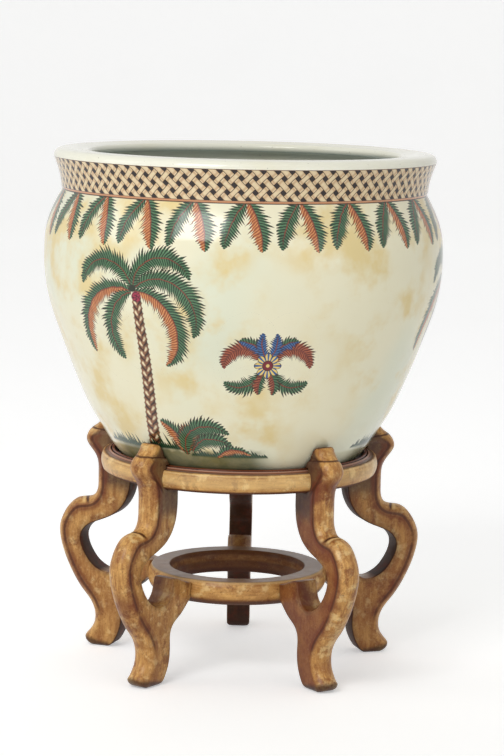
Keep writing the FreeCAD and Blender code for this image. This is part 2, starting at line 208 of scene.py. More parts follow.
class Number:
    """A number that varies over a surface: one socket of a node tree, with arithmetic."""

    def __init__(self, tree, socket):
        self.tree = tree
        self.socket = socket

    def math(self, operation, *others):
        return calculate(self.tree, operation, self, *others)

    def __add__(self, other):
        return self.math("ADD", other)

    __radd__ = __add__

    def __sub__(self, other):
        return self.math("SUBTRACT", other)

    def __rsub__(self, other):
        return calculate(self.tree, "SUBTRACT", other, self)

    def __mul__(self, other):
        return self.math("MULTIPLY", other)

    __rmul__ = __mul__

    def __truediv__(self, other):
        return self.math("DIVIDE", other)

    def __pow__(self, other):
        return self.math("POWER", other)

    def __abs__(self):
        return self.math("ABSOLUTE")

    def at_least(self, other):
        return self.math("MAXIMUM", other)

    def at_most(self, other):
        return self.math("MINIMUM", other)

    def wrapped(self, low, high):
        return self.math("WRAP", high, low)

    def ridge(self):
        """0 at every whole number and 1 halfway between two."""
        return self.math("PINGPONG", 0.5) * 2

    def step(self, low, high):
        """Rises smoothly from 0 at low to 1 at high, or falls where high is the smaller."""
        start, end = (0, 1) if low < high else (1, 0)
        inputs = {"Value": self, "From Min": min(low, high), "From Max": max(low, high),
                  "To Min": start, "To Max": end}
        node = add_node(self.tree, "MapRange", inputs, interpolation_type="SMOOTHSTEP")
        return Number(self.tree, node.outputs[0])

    def near(self, value, reach):
        """1 at a value, fading to 0 at a distance of reach."""
        return abs(self - value).step(reach, reach * 0.35)


def feed(tree, socket, value):
    """Give a socket a Number, another socket or a constant."""
    if isinstance(value, Number):
        value = value.socket
    if isinstance(value, bpy.types.NodeSocket):
        tree.links.new(value, socket)
    else:
        socket.default_value = value


def add_node(tree, kind, inputs, **settings):
    """A node with its settings and what goes into its sockets, by name or place."""
    node = tree.nodes.new("ShaderNode" + kind)
    for name, value in settings.items():
        setattr(node, name, value)
    for name, value in inputs.items():
        feed(tree, node.inputs[name], value)
    return node


def calculate(tree, operation, *values):
    return Number(tree, add_node(tree, "Math", dict(enumerate(values)), operation=operation).outputs[0])


def combine(tree, x, y, z):
    return add_node(tree, "CombineXYZ", {0: x, 1: y, 2: z}).outputs[0]


def vector_math(tree, operation, *vectors):
    return add_node(tree, "VectorMath", dict(enumerate(vectors)), operation=operation).outputs


def measured(tree, operation, *vectors):
    """A length or a dot product."""
    return Number(tree, vector_math(tree, operation, *vectors)["Value"])


def noise(tree, vector, scale, detail=3.0, rough=0.55, shift=0.0):
    """Cloudy noise about 0.5, on a vector in millimetres; scale is in features per metre."""
    inputs = {"Vector": vector, "W": shift, "Scale": scale * MM, "Detail": detail, "Roughness": rough}
    return Number(tree, add_node(tree, "TexNoise", inputs, noise_dimensions="4D").outputs[0])


def dice(number):
    """A random number from 0 to 1 for each value of a whole number."""
    node = add_node(number.tree, "TexWhiteNoise", {"W": number}, noise_dimensions="1D")
    return Number(number.tree, node.outputs["Value"])


class Finish:
    """A material under construction: its colour is painted on in layers."""

    def __init__(self, name, colour):
        self.material = bpy.data.materials.new(name)
        self.material.use_nodes = True
        self.tree = self.material.node_tree
        self.shader = self.tree.nodes["Principled BSDF"]
        self.colour = colour
        point = add_node(self.tree, "TexCoord", {}).outputs["Object"]
        self.place = add_node(self.tree, "Mapping", {"Vector": point, "Scale": (1 / MM,) * 3}).outputs[0]
        self.x, self.y, self.z = self.parts(self.place)

    def parts(self, vector):
        """The three numbers of a vector."""
        node = add_node(self.tree, "SeparateXYZ", {0: vector})
        return [Number(self.tree, output) for output in node.outputs]

    def polar(self):
        """Azimuth in radians and distance from the axis in millimetres."""
        azimuth = self.x.math("ARCTAN2", self.y * -1)
        radius = (self.x * self.x + self.y * self.y).math("SQRT")
        return azimuth, radius

    def mixed(self, mask, under, over):
        return add_node(self.tree, "Mix", {0: mask, 6: under, 7: over}, data_type="RGBA").outputs[2]

    def paint(self, mask, colour):
        self.colour = self.mixed(mask, self.colour, colour)

    def noise(self, scale, detail=3.0, rough=0.55, shift=0.0):
        return noise(self.tree, self.place, scale, detail, rough, shift)

    def patches(self, scale, low, high, shift, detail=3.0, rough=0.6):
        """Noise turned into patches with soft edges: 0 below low, 1 above high."""
        return self.noise(scale, detail, rough, shift).step(low, high)

    def attribute(self, name, output="Fac"):
        return add_node(self.tree, "Attribute", {}, attribute_name=name).outputs[output]

    def done(self, roughness, height, bump, coat=0.0, coat_roughness=0.1):
        """Connect colour, roughness and a height in millimetres."""
        feed(self.tree, self.shader.inputs["Base Color"], self.colour)
        feed(self.tree, self.shader.inputs["Roughness"], roughness)
        self.shader.inputs["Coat Weight"].default_value = coat
        self.shader.inputs["Coat Roughness"].default_value = coat_roughness
        uneven = add_node(self.tree, "Bump", {"Strength": bump, "Distance": MM, "Height": height})
        feed(self.tree, self.shader.inputs["Normal"], uneven.outputs[0])
        return self.material


# ---- glaze painting

IVORY = srgb(240, 234, 203)
COOL_IVORY = srgb(228, 230, 205)
OCHRE = srgb(229, 205, 138)
DARK_GREEN = srgb(18, 44, 26)
LEAF_GREEN = srgb(88, 130, 92)
RUST = srgb(146, 70, 38)
PALE_RUST = srgb(216, 146, 90)
RIB_RED = srgb(146, 66, 50)
DEEP_BROWN = srgb(58, 34, 24)
BLUE = srgb(52, 92, 146)
MAROON = srgb(120, 24, 40)
CREAM_YELLOW = srgb(236, 206, 120)
LINE_ORANGE = srgb(216, 154, 112)
SPECK_BROWN = srgb(170, 148, 110)
WASH_GREEN = srgb(74, 80, 42)
WASH_BROWN = srgb(118, 112, 66)
BARK = srgb(140, 92, 62)
PALE_BARK = srgb(238, 220, 182)
KNOT = srgb(34, 44, 28)
FRUIT = srgb(168, 44, 72)
DARK_FRUIT = srgb(84, 16, 36)
STRIP = srgb(232, 212, 172)
STRIP_END = srgb(182, 134, 90)
STRIP_EDGE = srgb(196, 158, 112)
STRIP_BLUSH = srgb(212, 164, 130)
STRIP_OUTLINE = srgb(48, 28, 20)
PLAIT_GROUND = srgb(34, 20, 16)
COLLAR_LINE = srgb(104, 70, 50)

PALM_COUNT = 3
PALM_AZIMUTH = -30.5
PALM_CROWN = 454.0  # height of the crown
PALM_SEED = 10
FRINGE_COUNT = 23
FRINGE_AZIMUTH = 2.1
FRINGE_HEIGHT = 549.0
WEAVE_COUNT = 88
WEAVE_LOW = 552.6
WEAVE_HIGH = 586.0
ROSETTE_OFFSET = 39.5  # azimuth of a rosette after its palm
ROSETTE_HEIGHT = 375.0

# Fronds: root, a point on the way, tip (mm from the crown), half width, upper and lower colours.
GREENS = (DARK_GREEN, LEAF_GREEN)
RUSTS = (RUST, PALE_RUST)
BROWNS = (srgb(92, 36, 26), srgb(180, 94, 62))
BLUES = (srgb(28, 52, 96), srgb(70, 116, 172))
PALM_FRONDS = [
    ((-2, -2), (-62, -20), (-68, -76), 15, GREENS, RUSTS),
    ((2, -2), (44, -26), (29, -84), 15, GREENS, RUSTS),
    ((-2, -3), (-33, -36), (-22, -80), 14, GREENS, GREENS),
    ((2, 1), (58, 3), (66, -50), 15.5, GREENS, GREENS),
    ((-1, 0), (-38, 30), (-74, 1), 14.5, GREENS, GREENS),
    ((1, 0), (34, 36), (68, 14), 14.5, GREENS, GREENS),
]
BUSH_FRONDS = [
    ((34, -184), (54, -168), (80, -175), 12, GREENS, GREENS),
    ((24, -186), (20, -162), (5, -149), 13, GREENS, RUSTS),
    ((25, -186), (33, -166), (49, -150), 12, RUSTS, RUSTS),
    ((26, -188), (48, -154), (82, -161), 13, GREENS, GREENS),
    ((60, -190), (76, -180), (98, -186), 7, GREENS, RUSTS),
]
GRASS = [(-96, -14, -184, 14), (-20, 36, -182, 20), (30, 116, -188, 11)]  # left, right, foot, height
FRINGE_FRONDS = [
    ((-1, 3), (-16, -17), (-25, -47), 12.5, GREENS, GREENS),
    ((0, 3), (11.5, -20), (16, -50), 13.5, GREENS, RUSTS),
]
ROSETTE_LEAVES = [
    ((-6, -6), (-24, -25), (-46, -19), 11, GREENS, GREENS),
    ((6, -6), (24, -25), (46, -19), 11, GREENS, GREENS),
    ((-6, 2), (-27, 19), (-47, -4), 12, BROWNS, BROWNS),
    ((6, 2), (27, 19), (47, -4), 12, BROWNS, BROWNS),
    ((-4, 8), (-16, 23), (-33, 27), 9, GREENS, BLUES),
    ((4, 8), (16, 23), (33, 27), 9, GREENS, BLUES),
    ((-2, 8), (-8, 22), (-7, 37), 8, BLUES, BLUES),
    ((2, 8), (8, 22), (7, 37), 8, BLUES, BLUES),
    ((-2, -8), (-8, -20), (-7, -34), 8, BROWNS, GREENS),
    ((2, -8), (8, -20), (7, -34), 8, GREENS, BROWNS),
]


def paint_frond(finish, spot, frond, pitch, seed):
    """Feathered frond along an arc: a thin rib, and strokes that lean to the tip and end as hairs."""
    root, through, tip, wide, upper, lower = frond
    tree = finish.tree
    centre, radius = circle_through(root, through, tip)
    start, sweep = arc_angles(centre, root, through, tip)
    ahead = math.copysign(math.pi / 2, sweep)
    away = vector_math(tree, "SUBTRACT", spot, (*centre, 0))[0]
    towards = (math.cos(start), math.sin(start), 0)
    beside = (math.cos(start + ahead), math.sin(start + ahead), 0)
    side = measured(tree, "LENGTH", away) - radius
    lead = measured(tree, "DOT_PRODUCT", away, towards)
    drift = measured(tree, "DOT_PRODUCT", away, beside)
    along = drift.math("ARCTAN2", lead) / abs(sweep)
    length = abs(sweep) * radius

    lean = 0.55
    far = abs(side)
    stroke = (along * length - far * lean) / pitch + seed * 17.0
    gap = stroke.ridge()
    luck = dice(stroke.math("ROUND"))
    swell = (along * (1 - along) * 4).at_least(0) ** 0.62
    reach = far / (swell * (luck * 0.4 + 0.78) * wide + 0.01)
    cover = ((1.08 - reach) * 2.1 - gap).step(0, 0.3)

    shades = []
    for dark, light in (upper, lower):
        shade = finish.mixed(gap.step(0.15, 0.8) * (luck * 0.5 + 0.6), dark, light)
        shades.append(finish.mixed(reach.step(0.5, 0.9) * 0.8, shade, DEEP_BROWN))
    leaf = finish.mixed(side.step(-0.4, 0.4), shades[1], shades[0])
    leaf = finish.mixed(far.step(1.3, 0.5) * along.step(1.0, 0.8) * 0.6, leaf, DEEP_BROWN)
    leaf = finish.mixed(far.step(0.6, 0.25) * along.step(0.95, 0.6) * 0.9, leaf, RIB_RED)
    finish.paint(cover, leaf)


def paint_fronds(finish, x, y, fronds, seed, pitch=3.1):
    """Several fronds, the later over the earlier, a little unsteady as drawn by hand."""
    wobble = (finish.noise(130, 2.0, 0.5, 4.6) - 0.5) * 3.2
    spot = combine(finish.tree, x + wobble, y - wobble, 0.0)
    for number, frond in enumerate(fronds):
        paint_frond(finish, spot, frond, pitch, seed + number)


def paint_trunk(finish, x, y):
    """Leaning trunk of plaited scales in two staggered columns; y is the distance above the crown."""
    length = 182.0
    row_height = 11.5
    down = y * (-1 / length)
    middle = down * 9.5 - down * down * 27 + 4.5
    row = down * (length / row_height)
    thorn = (row * 2).ridge()
    half = down * 2.6 + 5.2 + thorn * thorn * 1.3
    across = (x - middle) / half
    column = across.step(-0.12, 0.12)
    scale = (row + abs(across) * 0.55 + column * 0.5).ridge()
    inner = scale * (1 - abs(abs(across) - 0.42) * 1.3)
    colour = finish.mixed(scale.step(0.12, 0.4), DEEP_BROWN, BARK)
    colour = finish.mixed(inner.step(0.42, 0.75), colour, PALE_BARK)
    colour = finish.mixed(across.step(0.1, 1.0) * 0.45, colour, DEEP_BROWN)
    body = abs(across).step(1.08, 0.9) * down.step(0.03, 0.06) * down.step(1.0, 0.985)
    finish.paint(body, colour)


def paint_crown(finish, x, y):
    """Dark knot where the fronds spring, and a cluster of small fruit below it."""
    knot = (x * x / 30 + (y - 1) * (y - 1) / 20).math("SQRT")
    finish.paint(knot.step(1.1, 0.7), KNOT)
    cells = add_node(finish.tree, "TexVoronoi", {"Vector": combine(finish.tree, x, y, 0.0), "Scale": 0.42})
    rim = Number(finish.tree, cells.outputs["Distance"]).step(0.35, 0.6)
    colour = finish.mixed(rim, FRUIT, DARK_FRUIT)
    reach = ((x - 4.5) * (x - 4.5) / 40 + (y + 8) * (y + 8) / 38).math("SQRT")
    finish.paint(reach.step(1.05, 0.85), colour)


def paint_grass(finish, x, y, left, right, foot, tall, seed):
    """Tuft of upright blades between two places."""
    pitch = 3.0
    blade = (x + (y - foot) * 0.3) / pitch + seed * 31.0
    tip = foot + tall * 0.3 + dice(blade.math("ROUND")) * tall
    swell = ((x - left) * (right - x) * (4 / (right - left) ** 2)).at_least(0) ** 0.5
    height = (y - foot) / ((tip - foot) * swell + 0.01)
    cover = ((1 - height) * 1.8 - blade.ridge()).step(0, 0.3) * y.step(foot - 3, foot)
    finish.paint(cover * swell.step(0.02, 0.2), finish.mixed(blade.ridge() * 0.35, DARK_GREEN, LEAF_GREEN))


def paint_rosette(finish, x, y):
    """Round flower with a maroon heart, between plumes in mirrored pairs."""
    paint_fronds(finish, x, y, ROSETTE_LEAVES, seed=60, pitch=2.9)
    radius = (x * x + y * y).math("SQRT")
    angle = y.math("ARCTAN2", x)
    petals = angle * (8 / (2 * math.pi))
    between_petals = petals.ridge()
    edge = (1 - between_petals * between_petals) * 5.0 + 9.5
    colour = finish.mixed((petals * 2).ridge().step(0.35, 0.6), BLUE, CREAM_YELLOW)
    finish.paint((radius - edge).step(0.9, 0.3), DEEP_BROWN)
    finish.paint((radius - edge).step(0.0, -0.6), colour)
    finish.paint(radius.step(6.4, 5.8), DEEP_BROWN)
    finish.paint(radius.step(5.6, 5.0), MAROON)
    finish.paint(radius.step(2.2, 1.6), CREAM_YELLOW)


def glaze_ground(finish):
    """Ivory glaze with drifting ochre clouds."""
    drift = finish.noise(9, 3.0, 0.5, 1.7)
    cool = finish.noise(5, 2.0, 0.5, 6.3)
    finish.paint(cool.step(0.4, 0.62), COOL_IVORY)
    cloud = finish.patches(15, 0.43, 0.62, 3.1, 4.0) * drift.step(0.36, 0.54)
    finish.paint(cloud * 0.85, OCHRE)
    finish.paint(finish.patches(420, 0.7, 0.78, 8.8, 2.0) * 0.25, SPECK_BROWN)


def glaze_done(finish):
    """High gloss with a faint unevenness."""
    roughness = finish.noise(60, 3.0, 0.6, 4.4) * 0.1 + 0.08
    waves = finish.noise(22, 2.0, 0.5, 2.2) + finish.noise(260, 2.0, 0.5, 5.9) * 0.08
    return finish.done(roughness, waves, bump=0.35)


def from_nearest(azimuth, first, count):
    """Angle from the nearest of several evenly spaced places, the first at a given azimuth."""
    half = math.pi / count
    return (azimuth - math.radians(first)).wrapped(-half, half)


def start_painted_glaze(name):
    """Ivory ground, with the azimuth from the nearest palm's line."""
    finish = Finish(name, IVORY)
    azimuth, radius = finish.polar()
    glaze_ground(finish)
    return finish, azimuth, radius, from_nearest(azimuth, PALM_AZIMUTH, PALM_COUNT)


def make_base_glaze():
    """Base: wash and grass, a bush and the foot of the trunk."""
    finish, _, radius, turn = start_painted_glaze("painted_base_glaze")
    x = turn * radius
    y = finish.z - PALM_CROWN
    ragged = finish.noise(90, 3.0, 0.6, 7.1)
    wash = (y + 195 + ragged * 16).step(24, 17) * x.step(-100, -60) * x.step(124, 90)
    finish.paint(wash * 0.85, finish.mixed(ragged.step(0.3, 0.7), WASH_GREEN, WASH_BROWN))
    paint_trunk(finish, x, y)
    for seed, (left, right, foot, tall) in enumerate(GRASS, start=1):
        paint_grass(finish, x, y, left, right, foot, tall, seed)
    paint_fronds(finish, x, y, BUSH_FRONDS, seed=30)
    return glaze_done(finish)


def make_belly_glaze():
    """Belly: palm crowns, trunks and rosettes."""
    finish, _, radius, turn = start_painted_glaze("painted_belly_glaze")
    x = turn * radius
    y = finish.z - PALM_CROWN
    paint_trunk(finish, x, y)
    paint_fronds(finish, x, y, PALM_FRONDS, PALM_SEED)
    paint_rosette(finish, (turn - math.radians(ROSETTE_OFFSET)) * radius, finish.z - ROSETTE_HEIGHT)
    paint_crown(finish, x, y)
    return glaze_done(finish)


def make_shoulder_glaze():
    """Shoulder: a fringe of fronds under the neck, over the tops of the palms."""
    finish, azimuth, radius, turn = start_painted_glaze("painted_shoulder_glaze")
    high = 4  # the fronds before it stay below the shoulder
    paint_fronds(finish, turn * radius, finish.z - PALM_CROWN, PALM_FRONDS[high:], PALM_SEED + high)
    turn = from_nearest(azimuth, FRINGE_AZIMUTH, FRINGE_COUNT)
    paint_fronds(finish, turn * radius, finish.z - FRINGE_HEIGHT, FRINGE_FRONDS, seed=50)
    finish.paint(finish.z.step(FRINGE_HEIGHT - 0.2, FRINGE_HEIGHT + 0.3), DEEP_BROWN)
    return glaze_done(finish)


def make_woven_glaze():
    """Collar: a painted plait of two families of slanting strips over a dark ground."""
    finish = Finish("woven_glaze", PLAIT_GROUND)
    azimuth, _ = finish.polar()
    middle = (WEAVE_LOW + WEAVE_HIGH) / 2
    across = azimuth * (WEAVE_COUNT / math.pi)
    up = (finish.z - middle) * (4.3 / (WEAVE_HIGH - WEAVE_LOW))
    falling = across + up
    rising = across - up
    off_falling = abs(falling.wrapped(-1, 1))
    off_rising = abs(rising.wrapped(-1, 1))
    rising_on_top = ((falling / 2).math("ROUND") + (rising / 2).math("ROUND")).math("PINGPONG", 1)

    strips = []
    for off, other, half in ((off_falling, off_rising, 0.66), (off_rising, off_falling, 0.58)):
        body = finish.mixed(other.step(0.55, 1.0) * 0.55, STRIP, STRIP_END)
        body = finish.mixed(off.step(0.15, 0.5) * 0.4, body, STRIP_EDGE)
        body = finish.mixed(finish.patches(300, 0.45, 0.7, 2.5) * 0.3, body, STRIP_BLUSH)
        body = finish.mixed(off.step(half - 0.17, half - 0.11), body, STRIP_OUTLINE)
        strips.append((off.step(half, half - 0.04), body))
    (falling_mask, falling_body), (rising_mask, rising_body) = strips
    finish.paint(rising_mask, rising_body)
    finish.paint(falling_mask, falling_body)
    finish.paint(rising_mask * rising_on_top, rising_body)

    finish.paint(finish.z.step(WEAVE_LOW + 0.2, WEAVE_LOW - 0.4), DEEP_BROWN)
    finish.paint(finish.z.step(WEAVE_LOW - 0.3, WEAVE_LOW - 0.8), LINE_ORANGE)
    finish.paint(finish.z.step(WEAVE_HIGH - 0.5, WEAVE_HIGH), COLLAR_LINE)
    finish.paint(finish.z.step(WEAVE_HIGH + 0.3, WEAVE_HIGH + 0.9), IVORY)
    return glaze_done(finish)


def make_rim_glaze():
    """Rim: cream-white, with a faint worn line, specks and pinholes."""
    finish = Finish("rim_glaze", srgb(240, 238, 220))
    _, radius = finish.polar()
    glaze = finish.patches(12, 0.45, 0.7, 2.9, 3.0, 0.5) * 0.35
    finish.paint(glaze, srgb(230, 222, 190))
    wander = finish.noise(30, 3.0, 0.6, 5.2) * 8 + radius
    broken = finish.patches(110, 0.5, 0.62, 1.1, 3.0, 0.7)
    finish.paint(wander.near(207.5, 0.9) * broken * 0.6, srgb(140, 118, 92))
    finish.paint(finish.patches(340, 0.68, 0.76, 7.7, 2.0) * 0.5, srgb(120, 100, 78))
    return glaze_done(finish)


def make_inside_glaze():
    """Inside: plain cool grey-white glaze in greyer patches, with painted shade on the wall below the rim,
    and warmer beige towards the bottom.
    """
    finish = Finish("inside_glaze", srgb(210, 220, 220))
    finish.paint(finish.patches(10, 0.4, 0.7, 3.3, 4.0) * 0.6, srgb(178, 194, 194))
    # Painted shade: the wall below the in-turned rim is painted a darker grey, with a ragged upper edge.
    under_rim_shade = finish.z + finish.noise(14, 4.0, 0.6, 5.1) * 24
    finish.paint(under_rim_shade.step(568, 560) * 0.55, srgb(126, 146, 146))
    finish.paint(finish.z.step(420, 260) * 0.5, srgb(186, 184, 168))
    finish.paint(finish.patches(380, 0.66, 0.75, 9.1, 2.0) * 0.3, srgb(130, 122, 104))
    return glaze_done(finish)


def make_foot_glaze():
    """Unglazed foot: pale biscuit clay with fine grit."""
    finish = Finish("foot_biscuit", srgb(206, 188, 160))
    finish.paint(finish.patches(220, 0.4, 0.7, 1.3, 4.0, 0.7) * 0.5, srgb(168, 146, 118))
    grit = finish.noise(900, 2.0, 0.6, 4.2)
    return finish.done(finish.noise(90) * 0.2 + 0.65, grit, bump=0.5)


# ---- wood finish

GOLD = srgb(218, 168, 98)
PALE_GOLD = srgb(240, 208, 146)
OCHRE_BROWN = srgb(162, 108, 56)
UMBER = srgb(66, 30, 16)
DARK_UMBER = srgb(48, 20, 9)
RED_UMBER = srgb(104, 40, 18)
GREY_BROWN = srgb(128, 106, 88)
BELOW_RING_SHADE = srgb(58, 46, 42)


def wood_tone(finish, grain, worn):
    """Gold rubbed over brown: worn is 1 where the gold is full, grain runs the streaks' way."""
    tree = finish.tree
    streak = noise(tree, grain, 160, 4.0, 0.65, 1.4)
    cloud = finish.noise(38, 3.0, 0.6, 6.6)
    finish.paint(streak.step(0.35, 0.7) * 0.45, RED_UMBER)
    finish.paint(worn * cloud.step(0.1, 0.5), finish.mixed(streak.step(0.3, 0.7), GOLD, OCHRE_BROWN))
    finish.paint(worn * finish.patches(85, 0.52, 0.66, 3.9) * 0.6, PALE_GOLD)
    finish.paint(finish.patches(48, 0.52, 0.64, 4.7, 5.0, 0.7) * 0.6, RED_UMBER)
    fleck = finish.noise(420, 4.0, 0.75, 2.1)
    finish.paint(fleck.step(0.56, 0.66) * 0.45, UMBER)
    finish.paint(fleck.step(0.44, 0.34) * 0.25, PALE_GOLD)
    return streak


def wood_done(finish, streak, dull):
    """Satin lacquer over an uneven hand-rubbed surface, duller where the dark glaze sits."""
    roughness = finish.noise(70, 3.0, 0.6, 8.2) * 0.25 + 0.24 + dull * 0.35
    fine, broad = finish.noise(240, 3.0, 0.6, 5.5), finish.noise(60, 2.0, 0.5, 7.3)
    height = streak * 0.35 + fine * 0.35 + broad * 1.1
    finish.shader.inputs["Specular IOR Level"].default_value = 0.2
    return finish.done(roughness, height, bump=0.5, coat=0.13, coat_roughness=0.16)


def make_leg_wood():
    """Golden rounded front, brown flanks with painted shade on one side and below the ring, inner faces
    dark with glaze and painted shade, cut lines, and painted shade and highlight at the knee's lip.
    """
    finish = Finish("leg_wood", OCHRE_BROWN)
    tree = finish.tree
    radius, side, height = finish.parts(finish.attribute("leg_place", "Vector"))
    front_gap = Number(tree, finish.attribute("front_gap"))
    edge_gap = Number(tree, finish.attribute("edge_gap"))

    front = front_gap.step(FRONT_SWELL + 3, FRONT_SWELL - 2)
    flank = 1 - front
    # Painted shade: the flank on one side of every leg, more on the front legs, is painted red-brown and
    # keeps less rubbed gold.
    on_front_legs = finish.y.step(-20, -60) * 0.7 + 0.3
    painted_shade_side = side.step(4, -4) * flank * on_front_legs
    drift = finish.noise(24, 3.0, 0.6, 5.7)
    rubbed = front * drift.step(0.3, 0.5) + flank * (1 - painted_shade_side) * drift.step(0.2, 0.55) * 0.75
    worn = (rubbed + edge_gap.near(3.0, 3.6) * drift.step(0.4, 0.55) * 0.4 + 0.08).at_most(1.0)
    grain = combine(tree, radius, side * 2.0, height * 0.25)
    streak = wood_tone(finish, grain, worn)

    # Flanks: painted shade on the shaded side, deeper lower down, darker to their edges, and painted grey
    # shade from just below the ring up.
    patch = finish.noise(45, 4.0, 0.65, 2.8)
    finish.paint(painted_shade_side * patch.step(0.36, 0.6) * 0.6, RED_UMBER)
    finish.paint(painted_shade_side * height.step(170, 60) * 0.35, RED_UMBER)
    finish.paint(flank * edge_gap.step(9, 1) * 0.35, UMBER)
    # Painted shade: a grey-dark band on the flanks from just below the ring upwards.
    finish.paint(flank * height.step(182, 204) * edge_gap.step(-1, 2) * 0.7, BELOW_RING_SHADE)

    # Groove beside the rounded front, from the cap to the ankle.
    fading = height.step(262, 250) * height.step(34, 52) * patch.step(0.22, 0.5)
    finish.paint(front_gap.near(FRONT_SWELL + 2.5, 7.0) * fading * 0.65, RED_UMBER)
    groove = front_gap.near(FRONT_SWELL + 1.4, 2.2) * fading
    finish.paint(groove * 0.7, UMBER)

    # Cut lines below the cap and on the knob.
    level = height - radius * 0.12 + finish.noise(120) * 3
    notch = level.near(CAP_HEIGHT - 19.0, 1.4) * height.step(246, 250)
    finish.paint(notch * 0.85, UMBER)
    carve = (height + front_gap * 2.2).near(258, 6) * height.near(231, 15) * front_gap.step(3, 7)
    finish.paint(carve * 0.85, UMBER)

    # Lip where the neck meets the knee: a dark cut line deepened with painted shade, and a painted
    # highlight beside it.
    lip = radius + abs(side) * 0.35 + finish.noise(150) * 4
    at_knee = height.step(171, 175) * height.step(192, 188) * front
    knee = lip.near(191.0, 2.4) * at_knee
    finish.paint(knee * 0.9, UMBER)
    # Painted highlight along the lip.
    finish.paint(lip.near(195.5, 2.6) * at_knee * 0.6, PALE_GOLD)
    finish.paint(front * height.near(226, 24) * patch.step(0.32, 0.55) * 0.8, RED_UMBER)
    finish.paint(front * height.near(88, 34) * patch.step(0.4, 0.6) * 0.55, RED_UMBER)

    # Inner faces painted dark, as dark glaze and painted shade, but not the valley of the crook, which is
    # lit; and a dark sole.
    crook = radius.step(170, 160) * height.step(126, 116) * height.step(84, 88)
    inner = edge_gap.step(1.6, 0.3) * (1 - front_gap.step(4, 1)) * (1 - crook)
    finish.paint(inner * 0.94, DARK_UMBER)
    finish.paint(inner * finish.patches(70, 0.45, 0.7, 9.4) * 0.45, RED_UMBER)
    sole = height - radius * 0.22 + finish.noise(60) * 4
    finish.paint(sole.step(-25.0, -31.0) * 0.8, DARK_UMBER)
    cuts = (groove + notch + knee + carve).at_most(1.0)
    return wood_done(finish, streak - cuts * 1.8, inner)


def ring_finish(name):
    """Start of a ring's finish, with grain that runs round it."""
    finish = Finish(name, OCHRE_BROWN)
    azimuth, radius = finish.polar()
    grain = combine(finish.tree, azimuth * 22, radius, finish.z)
    return finish, radius, grain


def make_top_ring_wood():
    """Golden band, grey-brown slope, a bead with a painted pinkish highlight, dark groove and brown lip,
    and a painted highlight on the band's top edge.
    """
    finish, radius, grain = ring_finish("top_ring_wood")
    band = radius.step(155.4, 156.6) * finish.z.step(225.5, 228.5)
    streak = wood_tone(finish, grain, band)
    finish.paint(band * finish.z.near(237, 9) * 0.35, PALE_GOLD)
    inside = radius.step(156.4, 155.6)
    finish.paint(inside * 0.85, RED_UMBER)
    finish.paint(inside * radius.step(151.8, 152.8) * 0.75, GREY_BROWN)
    # Painted highlight: a pinkish pale line along the bead.
    finish.paint(radius.near(150.6, 1.3) * finish.z.step(246, 247) * 0.85, srgb(176, 132, 108))
    finish.paint(radius.near(148.5, 1.0), srgb(40, 18, 12))
    # Painted highlight along the band's rounded top edge.
    finish.paint(finish.z.near(244.6, 1.2) * radius.step(156, 157) * 0.45, PALE_GOLD)
    finish.paint(finish.z.step(228.5, 225.5) * 0.9, UMBER)
    finish.paint(radius.step(143.9, 142.8) * 0.8, UMBER)
    return wood_done(finish, streak, finish.z.step(228.5, 225.5))


def make_lower_ring_wood():
    """Rubbed top with a painted grey-brown reflection, rounded sides with a painted highlight along the
    top's outer edge, and dark lower edges.
    """
    finish, radius, grain = ring_finish("lower_ring_wood")
    band = finish.z.near(102, 12.5) * radius.step(98, 101)
    inner = finish.z.near(104, 5) * radius.step(80, 78) * 0.3
    streak = wood_tone(finish, grain, (band + inner).at_most(1.0))
    # Painted reflection: the top face is painted grey-brown.
    finish.paint(finish.z.step(111.6, 112.4) * 0.7, GREY_BROWN)
    # Painted highlight along the top's outer edge.
    finish.paint(radius.near(100.3, 1.8) * finish.z.step(109.5, 111) * 0.3, PALE_GOLD)
    finish.paint(finish.z.step(94, 89) * 0.85, UMBER)
    bore = radius.step(80, 78) * (1 - inner)
    finish.paint(bore * 0.75, UMBER)
    return wood_done(finish, streak, bore)


def make_bare_wood():
    """Raw hardwood of the tongues and dowels."""
    finish = Finish("bare_wood", srgb(186, 146, 98))
    grain = combine(finish.tree, finish.x, finish.y, finish.z * 6.0)
    streak = noise(finish.tree, grain, 240, 4.0, 0.6, 3.7)
    finish.paint(streak.step(0.4, 0.7) * 0.6, srgb(142, 100, 60))
    return finish.done(finish.noise(80) * 0.2 + 0.6, streak, bump=0.4)


def make_screw_steel():
    """Dulled steel with turning marks."""
    finish = Finish("screw_steel", srgb(150, 146, 138))
    turned = combine(finish.tree, finish.x, finish.y, finish.z * 8.0)
    marks = noise(finish.tree, turned, 500, 3.0, 0.6, 1.9)
    finish.paint(finish.patches(400, 0.5, 0.7, 6.1) * 0.5, srgb(104, 88, 74))
    finish.shader.inputs["Metallic"].default_value = 1.0
    return finish.done(marks * 0.3 + 0.25, marks, bump=0.3)


# ---- bowl pieces

BOWL_SEGMENTS = 288


def unroll(mesh, spans, strips):
    """Lay the first run of a turned piece out as strips, and its other runs below them."""
    layer = mesh.uv_layers.new(name="OFBake")
    uvs = np.zeros((len(mesh.loops), 2))
    low, gap = 0.16, 0.006  # height kept for the other runs, and the margin round each part
    for number, (first, last, rows) in enumerate(spans):
        if number == 0:
            parts, base, tall = strips, low, (1 - low) / strips
        else:
            parts, tall = 1, low / (len(spans) - 1)
            base = (number - 1) * tall
        columns = BOWL_SEGMENTS // parts
        for index in range(first, last):
            row, column = divmod(index - first, BOWL_SEGMENTS)
            strip, left = divmod(column, columns)
            corners = ((left, row), (left + 1, row), (left + 1, row + 1), (left, row + 1))
            for loop, (across, up) in zip(mesh.polygons[index].loop_indices, corners):
                uvs[loop] = (gap + across / columns * (1 - 2 * gap),
                             base + strip * tall + gap + up / (rows - 1) * (tall - 2 * gap))
    layer.uv.foreach_set("vector", uvs.ravel())


